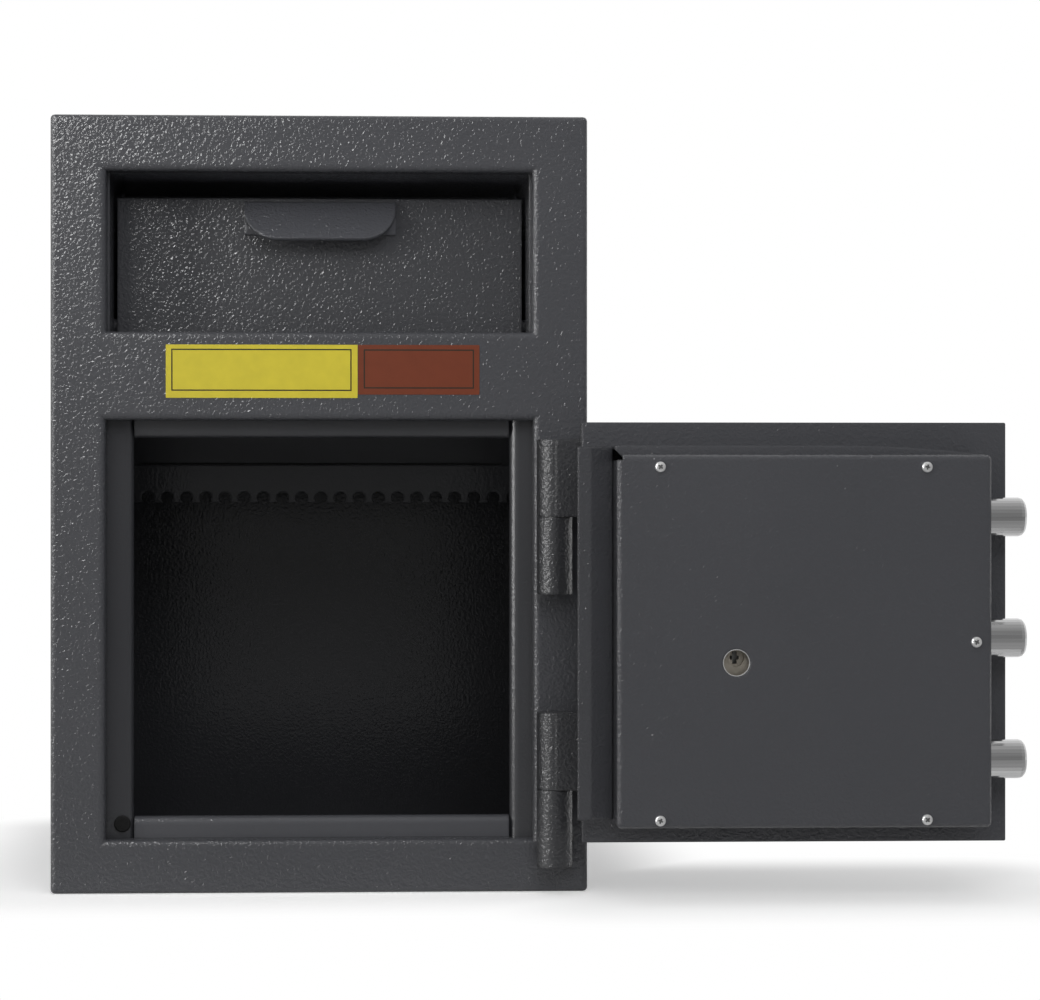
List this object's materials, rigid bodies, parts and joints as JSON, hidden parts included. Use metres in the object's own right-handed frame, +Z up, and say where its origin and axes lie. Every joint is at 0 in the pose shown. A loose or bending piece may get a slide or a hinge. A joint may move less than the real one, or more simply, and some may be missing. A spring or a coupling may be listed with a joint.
{
  "type": "drop safe with deposit drawer",
  "caption": "Floor safe with a tilting deposit drawer over a lockable compartment; swinging door with round bolts, lever handle and combination dial.",
  "frame": {"origin": "centre of the case's underside, where it stands on the floor", "axes": "+X to the right seen from the front, +Y from the front to the back of the case, +Z up"},
  "size_m": [0.6278, 0.4346, 0.5113],
  "materials": {
    "paint": "hammered dark grey powder coat",
    "steel": "plain rolled or turned steel",
    "chrome": "bright plating",
    "zinc": "dull die-cast zinc",
    "rubber": "matte",
    "dial": "satin black",
    "label": "plain vinyl stickers, one yellow and one rust brown, without words"
  },
  "bodies": {
    "safe_body": {"case_wrap": "paint", "back_panel": "paint", "front_frame": "paint", "stop_latch_side": "paint", "stop_hinge_side": "paint", "stop_top_rail": "paint", "stop_bottom_rail": "paint", "corner_bumper": "rubber", "recess_ceiling": "paint", "recess_hood": "paint", "recess_sill": "paint", "chute_with_comb": "paint", "recess_side_left": "paint", "recess_side_right": "paint", "drawer_pivot_left": "paint", "drawer_pivot_right": "paint", "drawer_stop_pin_left": "paint", "drawer_stop_pin_right": "paint", "hinge_upper_case_knuckle": "paint", "hinge_lower_case_knuckle": "paint", "hinge_upper_pin": "steel", "hinge_lower_pin": "steel"},
    "drawer": {"drawer_face": "paint", "drawer_pull": "paint", "drawer_floor": "paint", "drawer_side_left": "paint", "drawer_side_right": "paint"},
    "door": {"door_plate": "paint", "hinge_upper_door_knuckle": "paint", "hinge_lower_door_knuckle": "paint", "dead_bar": "paint", "bolt_box_top": "paint", "bolt_box_bottom": "paint", "bolt_guide_wall": "paint", "door_cover": "paint", "cover_screw_1": "chrome", "cover_screw_2": "chrome", "cover_screw_3": "chrome", "cover_screw_4": "chrome", "lug_screw": "chrome", "hard_plate": "steel", "lock_case": "zinc", "lock_bolt": "steel", "lock_back": "zinc", "lock_screw_1": "steel", "lock_screw_2": "steel", "dial_ring": "chrome", "handle_rose": "chrome", "guide_post_1": "steel", "guide_post_2": "steel"},
    "boltwork": {"bolt_bar": "steel", "bolt_bottom": "chrome", "bolt_middle": "chrome", "bolt_top": "chrome"},
    "handle": {"lever_handle": "chrome", "handle_cam": "steel"},
    "dial": {"dial": "dial", "drive_cam": "steel", "wheel_pack": "steel"}
  },
  "joints": [
    {"name": "door_swing", "type": "hinge", "parent": "safe_body", "child": "door", "pos_m": [0.15365, -0.1903, 0.158], "axis": [0, 0, -1], "range_deg": [0, 180]},
    {"name": "handle_turn", "type": "hinge", "parent": "door", "child": "handle", "pos_m": [0.344, -0.1903, 0.1552], "axis": [0, 1, 0], "range_deg": [0, 90]},
    {"name": "bolt_throw", "type": "slide", "parent": "door", "child": "boltwork", "axis": [-1, 0, 0], "range_m": [0, 0.025]},
    {"name": "dial_turn", "type": "hinge", "parent": "door", "child": "dial", "pos_m": [0.281, -0.1903, 0.1552], "axis": [0, 1, 0], "continuous": true},
    {"name": "drawer_tilt", "type": "hinge", "parent": "safe_body", "child": "drawer", "pos_m": [0, -0.1198, 0.376], "axis": [1, 0, 0], "range_deg": [0, 45]}
  ],
  "couplings": [
    {"joint": "bolt_throw", "follows": "handle_turn", "m_per_rad": 0.0159}
  ]
}
